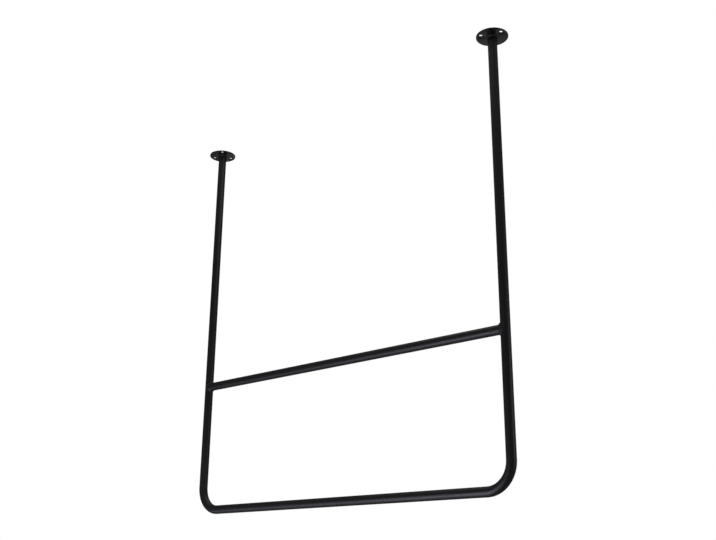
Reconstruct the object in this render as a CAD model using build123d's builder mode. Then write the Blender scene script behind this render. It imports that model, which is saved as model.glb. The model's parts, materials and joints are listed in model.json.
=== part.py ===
"""Ceiling-hung double clothes rail.

One round steel tube is bent into a U: its two legs are the uprights and its foot is the bottom rail.
A straight cross rail of the same tube is coped to sit on the uprights and is welded between them.
Each tube end stands in a round screw flange that goes flat against the ceiling.

Millimetres, +Z up. The origin is the middle of the left flange's ceiling face,
+X runs from the left flange to the right flange, and Z = 0 is the ceiling.
"""

import os
from math import sqrt

from build123d import *

# The tube that everything is made of
tube_diameter = 22.0
tube_wall = 1.5

# The frame
flange_spacing = 970.0  # between the two flange centres
overall_height = 1045.0  # from the ceiling to the underside of the bottom rail
rail_spacing = 330.0  # between the axes of the cross rail and the bottom rail
bend_radius = 60.0  # of the tube's centre line in the two lower corners

# The flanges
flange_diameter = 75.0
flange_thickness = 3.0
flange_rim_chamfer = 0.5
flange_bore_room = 0.1  # between the tube's skin and the flange's bore
screw_hole_diameter = 7.0
screw_head_diameter = 12.0  # at the mouth of the countersink, on the underside
screw_head_angle = 90.0
screw_circle_diameter = 55.0
screw_hole_count = 3
left_flange_turn = 43.0  # degrees from +X to the first screw hole, anticlockwise as seen from below
right_flange_turn = 8.5

# The welds
flange_weld_leg = 3.0
rail_root_gap = 0.3  # left between the coped rail end and the upright
left_rail_weld_leg = 3.5  # in the two corners above and below the cross rail
right_rail_weld_leg = 4.0
rail_weld_toe_room = 0.25  # that a bead is cut too wide, so that its toes end on the tubes

# Worked out from the sizes above
tube_radius = tube_diameter / 2
bore_radius = tube_radius - tube_wall
bottom_rail_z = tube_radius - overall_height
cross_rail_z = bottom_rail_z + rail_spacing
left_x = 0.0
right_x = flange_spacing
trim_length = 4 * tube_diameter  # long enough to pass right through a joint


def make_hanger_tube():
    """The bent tube: down from the left flange, along the bottom and up to the right flange."""
    with BuildPart() as hanger_tube:
        with BuildLine(Plane.XZ) as centre_line:
            FilletPolyline(
                (left_x, 0),
                (left_x, bottom_rail_z),
                (right_x, bottom_rail_z),
                (right_x, 0),
                radius=bend_radius,
            )
        with BuildSketch(Plane.XY):
            with Locations((left_x, 0)):
                Circle(tube_radius)
                Circle(bore_radius, mode=Mode.SUBTRACT)
        sweep(path=centre_line.line)
    return hanger_tube


def make_cross_rail():
    """The straight rail, with each end coped so that it sits on the round side of its upright."""
    with BuildPart() as cross_rail:
        with BuildSketch(Plane.YZ.offset(left_x)):
            with Locations((0, cross_rail_z)):
                Circle(tube_radius)
                Circle(bore_radius, mode=Mode.SUBTRACT)
        extrude(amount=right_x - left_x)
        with Locations((left_x, 0, cross_rail_z), (right_x, 0, cross_rail_z)):
            Cylinder(tube_radius + rail_root_gap, trim_length, mode=Mode.SUBTRACT)
    return cross_rail


def make_rail_weld(upright_x, inward, leg):
    """The bead round a coped rail end. Inward is 1 or -1, the way along X from the upright to the rail.

    Two tubes of one diameter meet along two half ellipses, each in a plane at 45 degrees.
    The bead along the upper one is a slice of a cylinder, set across that plane, less the two tubes.
    The lower one is its mirror image.
    """
    crest = sqrt(2) * tube_radius + leg / sqrt(2)
    bead_width = sqrt(2) * leg + rail_weld_toe_room
    # Set off along the seam's plane so that the bead runs out at the middle of the upright's side
    bead_centre = (crest**2 - tube_radius**2) / (2 * crest)
    rail_middle = Plane((0, 0, cross_rail_z))

    with BuildPart() as rail_weld:
        with BuildSketch(Plane((upright_x, 0, cross_rail_z), x_dir=(inward, 0, 1), z_dir=(1, 0, -inward))):
            with Locations((bead_centre, 0)):
                Circle(crest - bead_centre)
        extrude(amount=bead_width / 2, both=True)
        with Locations((upright_x, 0, cross_rail_z)):
            Cylinder(tube_radius, trim_length, mode=Mode.SUBTRACT)
            Cylinder(tube_radius, trim_length, rotation=(0, 90, 0), mode=Mode.SUBTRACT)
        split(bisect_by=rail_middle, keep=Keep.TOP)
        mirror(about=rail_middle)
    return rail_weld


def make_flange(centre_x, turn):
    """A round plate with a bore for the tube's end and countersunk screw holes on a circle."""
    with BuildPart() as flange:
        with BuildSketch(Plane((centre_x, 0, -flange_thickness))):
            Circle(flange_diameter / 2)
            Circle(tube_radius + flange_bore_room, mode=Mode.SUBTRACT)
        extrude(amount=flange_thickness)
        rims = flange.edges().filter_by(GeomType.CIRCLE).sort_by(SortBy.RADIUS)[-2:]
        chamfer(rims.sort_by(Axis.Z)[0], flange_rim_chamfer)
        underside = Plane((centre_x, 0, -flange_thickness), x_dir=(1, 0, 0), z_dir=(0, 0, -1))
        with Locations(underside):
            with PolarLocations(screw_circle_diameter / 2, screw_hole_count, start_angle=turn):
                CounterSinkHole(
                    radius=screw_hole_diameter / 2,
                    counter_sink_radius=screw_head_diameter / 2,
                    depth=flange_thickness,
                    counter_sink_angle=screw_head_angle,
                )
    return flange


def make_flange_weld(centre_x):
    """The fillet weld under a flange, round the tube."""
    under_flange = (tube_radius, -flange_thickness)
    flange_toe = (tube_radius + flange_weld_leg, -flange_thickness)
    tube_toe = (tube_radius, -flange_thickness - flange_weld_leg)
    with BuildPart() as flange_weld:
        with BuildSketch(Plane((centre_x, 0, 0), x_dir=(1, 0, 0), z_dir=(0, -1, 0))):
            with BuildLine():
                Polyline(under_flange, flange_toe, tube_toe, close=True)
            make_face()
        revolve(axis=Axis((centre_x, 0, 0), (0, 0, 1)))
    return flange_weld


def write_piece(piece, name):
    """Names a finished piece and writes it to a file of its own."""
    piece.part.label = name
    export_step(piece.part, f"parts/{name}.step")


os.makedirs("parts", exist_ok=True)
write_piece(make_hanger_tube(), "hanger_tube")
write_piece(make_cross_rail(), "cross_rail")
write_piece(make_rail_weld(left_x, 1, left_rail_weld_leg), "left_rail_weld")
write_piece(make_rail_weld(right_x, -1, right_rail_weld_leg), "right_rail_weld")
write_piece(make_flange(left_x, left_flange_turn), "left_flange")
write_piece(make_flange(right_x, right_flange_turn), "right_flange")
write_piece(make_flange_weld(left_x), "left_flange_weld")
write_piece(make_flange_weld(right_x), "right_flange_weld")
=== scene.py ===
"""Looks of the ceiling clothes rail: fine tube skins, rippled weld beads, powder coat, light and camera.

Metres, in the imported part's frame: Z = 0 is the ceiling, +X runs from the left flange to the right flange.
"""

import json
from math import ceil, cos, hypot, pi, radians, sin, sqrt

import bmesh
import bpy
from mathutils import Matrix, Vector, noise


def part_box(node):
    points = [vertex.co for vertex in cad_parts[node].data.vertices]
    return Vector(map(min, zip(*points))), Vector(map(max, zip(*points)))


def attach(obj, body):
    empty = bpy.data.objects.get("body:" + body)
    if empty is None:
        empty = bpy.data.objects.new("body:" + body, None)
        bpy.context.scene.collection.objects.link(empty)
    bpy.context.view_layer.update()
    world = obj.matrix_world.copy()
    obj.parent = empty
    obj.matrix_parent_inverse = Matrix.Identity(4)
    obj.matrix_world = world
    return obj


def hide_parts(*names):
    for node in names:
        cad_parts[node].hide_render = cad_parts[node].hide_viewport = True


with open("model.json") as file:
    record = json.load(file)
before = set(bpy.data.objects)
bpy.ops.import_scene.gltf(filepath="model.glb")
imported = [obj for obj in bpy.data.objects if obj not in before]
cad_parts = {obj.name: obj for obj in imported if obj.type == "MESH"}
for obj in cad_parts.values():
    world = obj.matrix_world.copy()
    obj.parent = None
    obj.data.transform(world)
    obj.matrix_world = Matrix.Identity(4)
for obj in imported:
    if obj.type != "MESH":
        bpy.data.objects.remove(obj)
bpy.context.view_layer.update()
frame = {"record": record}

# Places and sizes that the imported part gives, with its millimetres made metres
mounts = {mount["name"]: mount for mount in frame["record"]["mounts"]}
left_holes = mounts["left_flange_holes"]
right_holes = mounts["right_flange_holes"]
cross_bar = mounts["cross_rail_bar"]
bottom_bar = mounts["bottom_rail_bar"]
left_x = left_holes["pos_m"][0]
right_x = right_holes["pos_m"][0]
cross_z = cross_bar["pos_m"][2]
bottom_z = bottom_bar["pos_m"][2]
bottom_bar_length = bottom_bar["dims"]["length_mm"] / 1000
tube_radius = cross_bar["dims"]["r_mm"] / 1000
screw_circle_radius = left_holes["dims"]["pcd_mm"] / 2 / 1000
screw_hole_radius = left_holes["dims"]["hole_r_mm"] / 1000
screw_hole_count = left_holes["dims"]["count"]
flange_low, flange_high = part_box("left_flange")
flange_under_z = flange_low.z
flange_radius = (flange_high.y - flange_low.y) / 2

# Sizes that are only in the part's source
tube_wall = 0.0015
rail_root_gap = 0.0003  # between the coped rail end and the upright
flange_bore_room = 0.0001  # between the tube's skin and the flange's bore
screw_head_radius = 0.006  # at the mouth of the 90 degree countersink
left_flange_turn = radians(43.0)  # from +X to the first screw hole, anticlockwise as seen from below
right_flange_turn = radians(8.5)
left_rail_weld_leg = 0.0035
right_rail_weld_leg = 0.0040
flange_weld_leg = 0.0030

# Worked out from the sizes above
middle_x = (left_x + right_x) / 2
bend_radius = (right_x - left_x - bottom_bar_length) / 2
bore_radius = tube_radius - tube_wall
rail_reach = tube_radius + rail_root_gap  # from an upright's axis to the coped rail end
flange_bore_radius = tube_radius + flange_bore_room

# How finely the skins are divided, and the angle above which an edge stays sharp
tube_sides = 72
ring_spacing = 0.012
bend_rings = 36
cope_length = 0.03  # over which the rail's rings go from the cope's curve to a flat ring
cope_rings = 10
rim_sides = 120
hole_sides = 40
rounding_steps = 4
skin_crease = radians(50)
plate_crease = radians(35)

# Soft edges of the flanges
flange_top_rounding = 0.0004
flange_under_rounding = 0.0006
screw_mouth_rounding = 0.0002

# Powder coat
coat_dark = (0.0038, 0.0038, 0.0039, 1.0)
coat_light = (0.0075, 0.0074, 0.0076, 1.0)
shade_grain_share = 0.45  # how much of the shade follows the grain, while the rest follows the clouds
shade_dark_at = 0.30  # values of the noise where the shade is fully dark and fully light
shade_light_at = 0.70
gloss_most_at = 0.25  # values of the noise where the gloss is at its most and at its least
gloss_least_at = 0.75
gloss_change = 0.04  # of roughness, up and down
grain_strength = 0.35
peel_strength = 0.30
peel_depth = 0.0001

# Weld beads
rail_weld_side_leg = 0.0028  # on the flush sides of a joint
rail_weld_crown = 0.0003
rail_weld_side_crown = 0.0010
rail_weld_side_power = 8  # the greater, the closer to the flush sides their leg and crown stay
rail_weld_turn = 0.0025  # radius of the bead's turn on the flush sides
flange_weld_crown = 0.0003
weld_root_depth = 0.0006  # of the bead's hidden root, inside the metal
weld_toe_depth = 0.00005
bead_columns = 14  # from toe to toe
seam_marks = 4000  # for measuring along a rail's seam
seam_nudge = 0.001  # radians to each side of a point, for the seam's direction there

# Ripples of the weld beads
ripple_pitch = 0.0019
ripple_height = 0.00014
steps_per_ripple = 8
ripple_bow = 0.55  # how far a ripple's middle runs ahead of its ends, in ripples
ripple_fullness = 0.7  # power of the sine over a ripple, fuller when it is less
ripple_lean = 0.25  # share of a ripple's height that builds up along it
ripple_rise = 2.2  # how steeply the ripples rise from the toes

# Random changes along a weld bead. Paces are steps through the noise for each ripple, rows keep them apart
wander_change = 0.35  # of a ripple's place, in ripples
wander_pace = 0.31
wander_row = 0.0
strength_middle = 0.8  # of a ripple's height, as a share
strength_change = 0.4
strength_pace = 0.53
strength_row = 4.0
leg_change = 0.08  # of a bead's leg, as a share
leg_pace = 0.21
leg_row = 9.0
leg_noise_radius = 2.0  # of the circle in the noise that a flange's bead follows

# Floor and light
floor_z = -2.45  # a room's floor under a ceiling at zero
floor_half_width = 400.0
cool = (0.84, 0.82, 1.0)
white = (1.0, 1.0, 1.0)

# The photograph's camera
image_width = 716
focal_pixels = 920.5
camera_yaw = radians(42.268)
camera_pitch = radians(18.480)
camera_roll = radians(0.382)
camera_from_bottom_rail = Vector((1.5096, -1.5870, -0.1658))  # from the middle of the bottom rail


def new_piece(name, node, mesh, material):
    """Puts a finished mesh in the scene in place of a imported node."""
    piece = bpy.data.objects.new(name, mesh)
    bpy.context.scene.collection.objects.link(piece)
    mesh.materials.append(material)
    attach(piece, "root")
    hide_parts(node)


def closed_skin(name, loops):
    """A smooth closed mesh through a row of loops of points, with the last loop joined to the first."""
    sides = len(loops[0])
    vertices = [point for loop in loops for point in loop]
    faces = []
    for row in range(len(loops)):
        here = row * sides
        there = (row + 1) % len(loops) * sides
        for side in range(sides):
            after = (side + 1) % sides
            faces.append((here + side, here + after, there + after, there + side))
    mesh = bpy.data.meshes.new(name)
    mesh.from_pydata(vertices, [], faces)
    work = bmesh.new()
    work.from_mesh(mesh)
    bmesh.ops.recalc_face_normals(work, faces=work.faces)
    work.to_mesh(mesh)
    work.free()
    mesh.shade_smooth()
    mesh.set_sharp_from_angle(angle=skin_crease)
    return mesh


# Powder coat


def coat_noise(tree, place, scale, detail, roughness):
    """The value of a noise texture at a place."""
    texture = tree.nodes.new("ShaderNodeTexNoise")
    texture.inputs["Scale"].default_value = scale
    texture.inputs["Detail"].default_value = detail
    texture.inputs["Roughness"].default_value = roughness
    tree.links.new(place, texture.inputs["Vector"])
    return texture.outputs["Fac"]


def coat_colour(tree, cloud, grain):
    """Near black, with faint changes of shade from slow clouds and from the grain."""
    shade = tree.nodes.new("ShaderNodeMix")
    shade.data_type = "FLOAT"
    shade.inputs["Factor"].default_value = shade_grain_share
    tree.links.new(cloud, shade.inputs["A"])
    tree.links.new(grain, shade.inputs["B"])
    colours = tree.nodes.new("ShaderNodeValToRGB")
    dark, light = colours.color_ramp.elements
    dark.position = shade_dark_at
    dark.color = coat_dark
    light.position = shade_light_at
    light.color = coat_light
    tree.links.new(shade.outputs["Result"], colours.inputs["Fac"])
    return colours.outputs["Color"]


def coat_roughness(tree, cloud, roughness):
    """Roughness that changes a little with the clouds."""
    gloss = tree.nodes.new("ShaderNodeMapRange")
    gloss.inputs["From Min"].default_value = gloss_most_at
    gloss.inputs["From Max"].default_value = gloss_least_at
    gloss.inputs["To Min"].default_value = roughness - gloss_change
    gloss.inputs["To Max"].default_value = roughness + gloss_change
    tree.links.new(cloud, gloss.inputs["Value"])
    return gloss.outputs["Result"]


def coat_relief(tree, grain, grain_depth, peel):
    """Fine grain over the soft waves of an orange peel."""
    fine = tree.nodes.new("ShaderNodeBump")
    fine.inputs["Strength"].default_value = grain_strength
    fine.inputs["Distance"].default_value = grain_depth
    tree.links.new(grain, fine.inputs["Height"])
    waves = tree.nodes.new("ShaderNodeBump")
    waves.inputs["Strength"].default_value = peel_strength
    waves.inputs["Distance"].default_value = peel_depth
    tree.links.new(peel, waves.inputs["Height"])
    tree.links.new(fine.outputs["Normal"], waves.inputs["Normal"])
    return waves.outputs["Normal"]


def powder_coat(name, roughness, grain_depth):
    """Satin black: fine grain over a soft orange peel, with faint changes of shade and gloss."""
    material = bpy.data.materials.new(name)
    material.use_nodes = True
    tree = material.node_tree
    place = tree.nodes.new("ShaderNodeTexCoord").outputs["Object"]
    cloud = coat_noise(tree, place, scale=14.0, detail=3.0, roughness=0.5)
    grain = coat_noise(tree, place, scale=2600.0, detail=2.0, roughness=0.6)
    peel = coat_noise(tree, place, scale=420.0, detail=2.0, roughness=0.5)
    shader = tree.nodes["Principled BSDF"]
    tree.links.new(coat_colour(tree, cloud, grain), shader.inputs["Base Color"])
    tree.links.new(coat_roughness(tree, cloud, roughness), shader.inputs["Roughness"])
    tree.links.new(coat_relief(tree, grain, grain_depth, peel), shader.inputs["Normal"])
    return material


tube_coat = powder_coat("powder_coat_tube", roughness=0.42, grain_depth=0.00006)
plate_coat = powder_coat("powder_coat_plate", roughness=0.30, grain_depth=0.00006)
weld_coat = powder_coat("powder_coat_weld", roughness=0.55, grain_depth=0.00004)


# The bent tube


def straight_stations(start, end):
    """Points of a straight run, evenly spaced, without its last point. Points are (x, z)."""
    count = ceil(hypot(end[0] - start[0], end[1] - start[1]) / ring_spacing)
    stations = []
    for step in range(count):
        share = step / count
        stations.append((start[0] + share * (end[0] - start[0]), start[1] + share * (end[1] - start[1])))
    return stations


def bend_stations(centre, start_angle):
    """Points of a quarter bend, from an angle and anticlockwise in XZ, without its last point."""
    stations = []
    for step in range(bend_rings):
        angle = start_angle + pi / 2 * step / bend_rings
        stations.append((centre[0] + bend_radius * cos(angle), centre[1] + bend_radius * sin(angle)))
    return stations


def tube_stations():
    """The tube's centre line, from the left flange's ceiling face round to the right one."""
    bend_z = bottom_z + bend_radius
    left_bend = (left_x + bend_radius, bend_z)
    right_bend = (right_x - bend_radius, bend_z)
    line = straight_stations((left_x, 0.0), (left_x, bend_z))
    line += bend_stations(left_bend, pi)
    line += straight_stations((left_bend[0], bottom_z), (right_bend[0], bottom_z))
    line += bend_stations(right_bend, 1.5 * pi)
    line += straight_stations((right_x, bend_z), (right_x, 0.0))
    line.append((right_x, 0.0))
    return line


def tube_ring(stations, index, radius):
    """The tube's ring of points at one station of its centre line."""
    before = stations[max(index - 1, 0)]
    after = stations[min(index + 1, len(stations) - 1)]
    length = hypot(after[0] - before[0], after[1] - before[1])
    across = ((before[1] - after[1]) / length, (after[0] - before[0]) / length)
    x, z = stations[index]
    ring = []
    for side in range(tube_sides):
        angle = 2 * pi * side / tube_sides
        out = radius * cos(angle)
        ring.append((x + out * across[0], radius * sin(angle), z + out * across[1]))
    return ring


def bent_tube():
    """Outer skin and bore in one closed mesh: out along the skin, back along the bore."""
    stations = tube_stations()
    skin = [tube_ring(stations, index, tube_radius) for index in range(len(stations))]
    bore = [tube_ring(stations, index, bore_radius) for index in reversed(range(len(stations)))]
    new_piece("bent_tube", "hanger_tube", closed_skin("bent_tube", skin + bore), tube_coat)


bent_tube()


# The cross rail


def rail_ring(radius, upright_x, inward, share):
    """A ring near an end of the cross rail. Share is 0 on the cope's curve and 1 where the ring is flat.

    Inward is 1 or -1, the way along X from the upright to the rail.
    """
    ring = []
    for side in range(tube_sides):
        angle = 2 * pi * side / tube_sides
        y = radius * sin(angle)
        cope = sqrt(rail_reach**2 - y**2)
        distance = cope + share * (cope_length - cope)
        ring.append((upright_x + inward * distance, y, cross_z + radius * cos(angle)))
    return ring


def rail_rings(radius):
    """All rings of the rail at one radius, from the left cope to the right cope."""
    rings = [rail_ring(radius, left_x, 1, step / cope_rings) for step in range(cope_rings + 1)]
    start = left_x + cope_length
    end = right_x - cope_length
    count = ceil((end - start) / ring_spacing)
    for step in range(1, count):
        x = start + (end - start) * step / count
        rings.append([(x, y, z) for _, y, z in rings[cope_rings]])
    rings += [rail_ring(radius, right_x, -1, 1 - step / cope_rings) for step in range(cope_rings + 1)]
    return rings


def cross_rail():
    """Skin, bore and the two coped ends in one closed mesh."""
    loops = rail_rings(tube_radius) + rail_rings(bore_radius)[::-1]
    new_piece("cross_tube", "cross_rail", closed_skin("cross_tube", loops), tube_coat)


cross_rail()


# Flanges


def plate_ring(work, x, y, radius, z, sides):
    """A ring of new points in a plate's mesh."""
    angles = [2 * pi * side / sides for side in range(sides)]
    return [work.verts.new((x + radius * cos(angle), y + radius * sin(angle), z)) for angle in angles]


def rim_rings(work, centre_x):
    """A plate's rim from the underside to the ceiling face, with both edges rounded."""
    quarter = [pi / 2 * step / rounding_steps for step in range(rounding_steps + 1)]
    rings = []
    for angle in quarter:
        radius = flange_radius - flange_under_rounding * (1 - sin(angle))
        z = flange_under_z + flange_under_rounding * (1 - cos(angle))
        rings.append(plate_ring(work, centre_x, 0.0, radius, z, rim_sides))
    for angle in quarter:
        radius = flange_radius - flange_top_rounding * (1 - cos(angle))
        z = -flange_top_rounding * (1 - sin(angle))
        rings.append(plate_ring(work, centre_x, 0.0, radius, z, rim_sides))
    return rings


def bore_rings(work, centre_x):
    """The bore for the tube, from the underside to the ceiling face."""
    levels = (flange_under_z, 0.0)
    return [plate_ring(work, centre_x, 0.0, flange_bore_radius, z, tube_sides) for z in levels]


def screw_hole_rings(work, centre_x, angle):
    """A screw hole from the softened mouth of its countersink to the ceiling face."""
    x = centre_x + screw_circle_radius * cos(angle)
    y = screw_circle_radius * sin(angle)
    profile = (
        (screw_head_radius + screw_mouth_rounding, flange_under_z),
        (screw_head_radius - screw_mouth_rounding / 2, flange_under_z + screw_mouth_rounding / 2),
        (screw_hole_radius, flange_under_z + screw_head_radius - screw_hole_radius),
        (screw_hole_radius, 0.0),
    )
    return [plate_ring(work, x, y, radius, z, hole_sides) for radius, z in profile]


def add_wall(work, rings):
    """Smooth faces from each ring to the next."""
    for low, high in zip(rings, rings[1:]):
        for side in range(len(low)):
            quad = work.faces.new((low[side - 1], low[side], high[side], high[side - 1]))
            quad.smooth = True


def add_flat(work, loops):
    """A flat face with holes, between the first loop and the others."""
    edges = []
    for loop in loops:
        edges += [work.edges.get((loop[side - 1], loop[side])) for side in range(len(loop))]
    bmesh.ops.triangle_fill(work, use_beauty=True, edges=edges, normal=(0.0, 0.0, 1.0))


def flange_plate(name, node, centre_x, turn):
    """A round plate with softened rims, a bore for the tube and countersunk screw holes."""
    work = bmesh.new()
    walls = [rim_rings(work, centre_x), bore_rings(work, centre_x)]
    for number in range(screw_hole_count):
        angle = -turn - 2 * pi * number / screw_hole_count  # minus, as a turn is seen from below
        walls.append(screw_hole_rings(work, centre_x, angle))
    for rings in walls:
        add_wall(work, rings)
    add_flat(work, [rings[0] for rings in walls])
    add_flat(work, [rings[-1] for rings in walls])
    bmesh.ops.recalc_face_normals(work, faces=work.faces)
    mesh = bpy.data.meshes.new(name)
    work.to_mesh(mesh)
    work.free()
    mesh.set_sharp_from_angle(angle=plate_crease)
    new_piece(name, node, mesh, plate_coat)


flange_plate("left_plate", "left_flange", left_x, left_flange_turn)
flange_plate("right_plate", "right_flange", right_x, right_flange_turn)


# Weld beads


def drift(along, pace, seed, row):
    """A slow random change along a bead, from about -1 to 1."""
    return noise.noise(Vector((along * pace, seed, row)))


def ripple(along, across, seed):
    """Height of a weld's ripples. Along counts ripples, across runs 0 to 1 from toe to toe."""
    bow = 4 * across * (1 - across)  # 0 at the toes and 1 between them
    wander = wander_change * drift(along, wander_pace, seed, wander_row)
    wave = (along + wander - ripple_bow * bow) % 1.0
    crest = sin(pi * wave) ** ripple_fullness * (1 - ripple_lean + ripple_lean * wave)
    strength = strength_middle + strength_change * drift(along, strength_pace, seed, strength_row)
    return ripple_height * strength * crest * min(1.0, ripple_rise * bow)


def bead_loop(toe_a, toe_b, root, crown_way, crown, along, seed):
    """Cross-section of a bead: from toe to toe over the crown, and back through the hidden root."""
    middle = (toe_a + toe_b) / 2 + 2 * crown * crown_way  # the curve rises half way to it
    loop = []
    for column in range(bead_columns + 1):
        across = column / bead_columns
        face = (1 - across) ** 2 * toe_a + 2 * across * (1 - across) * middle + across**2 * toe_b
        loop.append(face + ripple(along, across, seed) * crown_way)
    loop.append(root)
    return loop


def onto_tube(point, axis):
    """The point moved straight in or out, to lie just under the skin of a tube about an axis."""
    along = point.dot(axis) * axis
    return along + (point - along).normalized() * (tube_radius - weld_toe_depth)


def rail_seam(angle):
    """The seam of a rail along +X on an upright along Z, with its turns on the flush sides eased."""
    height = tube_radius * cos(angle)
    return Vector((hypot(height, rail_weld_turn), tube_radius * sin(angle), height))


def even_seam_angles():
    """Angles of points that lie evenly along the seam, a whole number of ripples in all."""
    marks = [rail_seam(2 * pi * step / seam_marks) for step in range(seam_marks + 1)]
    lengths = [0.0]
    for here, there in zip(marks, marks[1:]):
        lengths.append(lengths[-1] + (there - here).length)
    steps = round(lengths[-1] / ripple_pitch) * steps_per_ripple
    angles = []
    mark = 0
    for step in range(steps):
        while lengths[mark + 1] < lengths[-1] * step / steps:
            mark += 1
        angles.append(2 * pi * mark / seam_marks)
    return angles


def rail_bead(name, node, upright_x, inward, corner_leg, seed):
    """The saddle bead round an end of the cross rail."""
    rail_axis = Vector((1.0, 0.0, 0.0))
    upright_axis = Vector((0.0, 0.0, 1.0))
    loops = []
    for step, angle in enumerate(even_seam_angles()):
        along = step / steps_per_ripple
        here = rail_seam(angle)
        tangent = (rail_seam(angle + seam_nudge) - rail_seam(angle - seam_nudge)).normalized()
        rail_out = (here - here.dot(rail_axis) * rail_axis).normalized()
        upright_out = (here - here.dot(upright_axis) * upright_axis).normalized()
        side = sin(angle) ** rail_weld_side_power
        leg = corner_leg + side * (rail_weld_side_leg - corner_leg)
        leg *= 1 + leg_change * drift(along, leg_pace, seed, leg_row)
        crown = rail_weld_crown + side * (rail_weld_side_crown - rail_weld_crown)
        rail_toe = onto_tube(here + leg * tangent.cross(rail_out), rail_axis)
        upright_toe = onto_tube(here + leg * upright_out.cross(tangent), upright_axis)
        crown_way = (rail_out + upright_out).normalized()
        root = here - weld_root_depth * crown_way
        loop = bead_loop(rail_toe, upright_toe, root, crown_way, crown, along, seed)
        loops.append([(upright_x + inward * x, y, cross_z + z) for x, y, z in loop])
    new_piece(name, node, closed_skin(name, loops), weld_coat)


def flange_bead(name, node, centre_x, seed):
    """The ring bead between a tube and the underside of its flange."""
    steps = round(2 * pi * (tube_radius + flange_weld_leg / 2) / ripple_pitch) * steps_per_ripple
    down = Vector((0.0, 0.0, -1.0))
    loops = []
    for step in range(steps):
        angle = 2 * pi * step / steps
        out = Vector((cos(angle), sin(angle), 0.0))
        spot = Vector((leg_noise_radius * cos(angle), leg_noise_radius * sin(angle), seed))
        leg = flange_weld_leg * (1 + leg_change * noise.noise(spot))
        corner = Vector((centre_x, 0.0, flange_under_z)) + tube_radius * out
        plate_toe = corner + leg * out - weld_toe_depth * down
        tube_toe = corner + leg * down - weld_toe_depth * out
        crown_way = (out + down).normalized()
        root = corner - weld_root_depth * crown_way
        along = step / steps_per_ripple
        loops.append(bead_loop(plate_toe, tube_toe, root, crown_way, flange_weld_crown, along, seed))
    new_piece(name, node, closed_skin(name, loops), weld_coat)


rail_bead("left_rail_bead", "left_rail_weld", left_x, inward=1, corner_leg=left_rail_weld_leg, seed=1.5)
rail_bead("right_rail_bead", "right_rail_weld", right_x, inward=-1, corner_leg=right_rail_weld_leg, seed=7.5)
flange_bead("left_flange_bead", "left_flange_weld", left_x, seed=3.5)
flange_bead("right_flange_bead", "right_flange_weld", right_x, seed=5.5)


# Floor, light and camera


def floor_coat():
    """A pale, even surface with the faintest mottle, which glows a little."""
    material = bpy.data.materials.new("pale_floor")
    material.use_nodes = True
    tree = material.node_tree
    shader = tree.nodes["Principled BSDF"]
    shader.inputs["Roughness"].default_value = 0.8
    shader.inputs["Emission Color"].default_value = (1.0, 1.0, 1.0, 1.0)
    shader.inputs["Emission Strength"].default_value = 0.55
    mottle = tree.nodes.new("ShaderNodeTexNoise")
    mottle.inputs["Scale"].default_value = 0.8
    colours = tree.nodes.new("ShaderNodeValToRGB")
    dark, light = colours.color_ramp.elements
    dark.color = (0.80, 0.80, 0.80, 1.0)
    light.color = (0.84, 0.84, 0.84, 1.0)
    tree.links.new(mottle.outputs["Fac"], colours.inputs["Fac"])
    tree.links.new(colours.outputs["Color"], shader.inputs["Base Color"])
    return material


def pale_floor():
    """A plain floor, far larger than the part. It neither lights the part nor shows in its gloss."""
    half = floor_half_width
    corners = [(x, y, floor_z) for x, y in ((-half, -half), (half, -half), (half, half), (-half, half))]
    mesh = bpy.data.meshes.new("floor")
    mesh.from_pydata(corners, [], [(0, 1, 2, 3)])
    mesh.materials.append(floor_coat())
    floor = bpy.data.objects.new("floor", mesh)
    bpy.context.scene.collection.objects.link(floor)
    floor.visible_diffuse = False
    floor.visible_glossy = False


def white_surroundings():
    """A white backdrop to look at, with far dimmer light from it for everything else."""
    world = bpy.data.worlds.new("studio")
    bpy.context.scene.world = world
    world.use_nodes = True
    nodes = world.node_tree.nodes
    links = world.node_tree.links
    nodes.clear()
    seen = nodes.new("ShaderNodeBackground")
    seen.inputs["Color"].default_value = (1.0, 1.0, 1.0, 1.0)
    light = nodes.new("ShaderNodeBackground")
    light.inputs["Color"].default_value = (1.0, 0.95, 0.96, 1.0)
    light.inputs["Strength"].default_value = 0.14
    path = nodes.new("ShaderNodeLightPath")
    mix = nodes.new("ShaderNodeMixShader")
    output = nodes.new("ShaderNodeOutputWorld")
    links.new(path.outputs["Is Camera Ray"], mix.inputs["Fac"])
    links.new(light.outputs["Background"], mix.inputs[1])
    links.new(seen.outputs["Background"], mix.inputs[2])
    links.new(mix.outputs["Shader"], output.inputs["Surface"])


def soft_light(name, place, target, width, height, power, colour):
    """A soft area light that shines from a place towards a target. The camera doesn't see it."""
    data = bpy.data.lights.new(name, "AREA")
    data.shape = "RECTANGLE"
    data.size = width
    data.size_y = height
    data.energy = power
    data.color = colour
    lamp = bpy.data.objects.new(name, data)
    bpy.context.scene.collection.objects.link(lamp)
    lamp.location = place
    lamp.rotation_euler = (Vector(target) - Vector(place)).to_track_quat("-Z", "Y").to_euler()
    lamp.visible_camera = False


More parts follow.
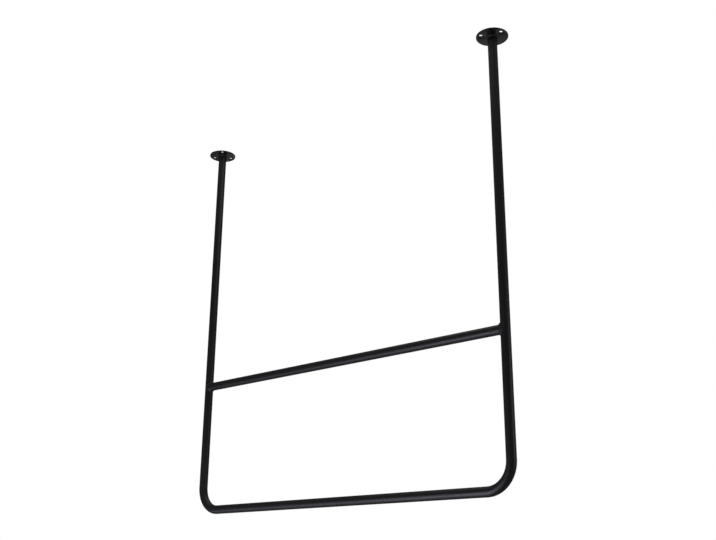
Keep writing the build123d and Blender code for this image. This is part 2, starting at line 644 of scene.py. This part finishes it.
def tube_lights():
    """Cool light from below and from the right, for the highlights along the rails and the uprights."""
    soft_light("low_left_softbox", place=(-0.8, -0.8, -1.85), target=(0.3, 0.0, -0.85),
               width=0.8, height=0.8, power=2.75, colour=cool)
    soft_light("low_front_softbox", place=(0.2, -1.15, -1.65), target=(0.5, 0.0, -0.85),
               width=0.8, height=0.8, power=7.2, colour=cool)
    soft_light("low_under_softbox", place=(0.2, -0.7, -1.95), target=(0.5, 0.0, -0.85),
               width=0.8, height=0.8, power=3.7, colour=cool)
    soft_light("right_softbox", place=(2.6, 0.6, -0.7), target=(0.5, 0.0, -0.6),
               width=0.8, height=1.2, power=3.7, colour=cool)


def top_lights():
    """White light from above and behind, for the flanges and the tops of the uprights."""
    soft_light("overhead_softbox", place=(middle_x, 0.0, 2.2), target=(middle_x, 0.0, 0.0),
               width=4.0, height=4.0, power=24.0, colour=white)
    soft_light("inner_softbox", place=(0.78, 0.07, 0.2), target=(left_x, 0.0, -0.2),
               width=0.5, height=0.5, power=0.7, colour=white)
    soft_light("ceiling_strip", place=(0.95, -0.45, 0.2), target=(0.95, 0.0, 0.2),
               width=2.5, height=0.2, power=0.5, colour=white)
    soft_light("outer_softbox", place=(1.3, 0.06, 0.17), target=(right_x, 0.0, -0.03),
               width=0.25, height=0.25, power=0.05, colour=white)
    soft_light("back_softbox", place=(-0.6, 1.9, -1.2), target=(-0.6, 0.0, 0.0),
               width=3.6, height=1.2, power=2.7, colour=white)


def photo_camera():
    """The photograph's view: from below right, looking up at the rail."""
    data = bpy.data.cameras.new("photo_camera")
    data.sensor_fit = "HORIZONTAL"
    data.sensor_width = 36.0
    data.lens = data.sensor_width * focal_pixels / image_width
    data.clip_end = 1000.0
    level_share = cos(camera_pitch)
    ahead = Vector((-sin(camera_yaw) * level_share, cos(camera_yaw) * level_share, sin(camera_pitch)))
    level_right = Vector((cos(camera_yaw), sin(camera_yaw), 0.0))
    level_up = level_right.cross(ahead)
    right = cos(camera_roll) * level_right + sin(camera_roll) * level_up
    up = right.cross(ahead)
    camera = bpy.data.objects.new("photo_camera", data)
    bpy.context.scene.collection.objects.link(camera)
    place = Vector((middle_x, 0.0, bottom_z)) + camera_from_bottom_rail
    camera.matrix_world = Matrix.Translation(place) @ Matrix((right, up, -ahead)).transposed().to_4x4()
    bpy.context.scene.camera = camera


pale_floor()
white_surroundings()
tube_lights()
top_lights()
photo_camera()
bpy.context.scene.view_settings.view_transform = "Standard"
